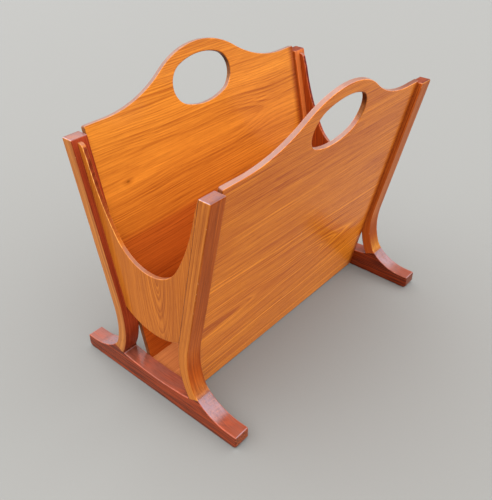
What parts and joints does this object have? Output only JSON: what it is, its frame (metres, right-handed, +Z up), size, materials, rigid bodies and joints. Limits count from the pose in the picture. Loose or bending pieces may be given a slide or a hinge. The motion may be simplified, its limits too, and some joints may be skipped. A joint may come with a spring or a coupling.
{
  "type": "magazine rack",
  "caption": "Floor-standing wooden magazine rack: splayed side boards with oval handle holes, curved end frames on foot rails, and end panels with a deep U cut.",
  "frame": {"origin": "floor level, under the middle of the rack", "axes": "+X across the rack towards the right side panel, +Y along its length towards the back end, +Z up"},
  "size_m": [0.299, 0.4614, 0.417],
  "materials": {
    "post_teak": "semi-gloss varnish over teak",
    "foot_teak": "semi-gloss varnish over darker teak",
    "side_teak": "semi-gloss varnish over teak, grain along the rack",
    "end_teak": "semi-gloss varnish over teak, grain upright",
    "board_teak": "semi-gloss varnish over teak",
    "dowel_beech": "bare beech"
  },
  "bodies": {
    "root": {"foot_rail_front": "foot_teak", "post_front_left": "post_teak", "dowel_front_left_1": "dowel_beech", "dowel_front_left_2": "dowel_beech", "post_front_right": "post_teak", "dowel_front_right_1": "dowel_beech", "dowel_front_right_2": "dowel_beech", "end_panel_front": "end_teak", "foot_rail_back": "foot_teak", "post_back_left": "post_teak", "dowel_back_left_1": "dowel_beech", "dowel_back_left_2": "dowel_beech", "post_back_right": "post_teak", "dowel_back_right_1": "dowel_beech", "dowel_back_right_2": "dowel_beech", "end_panel_back": "end_teak", "side_panel_left": "side_teak", "side_panel_right": "side_teak", "bottom_board": "board_teak"}
  },
  "joints": []
}
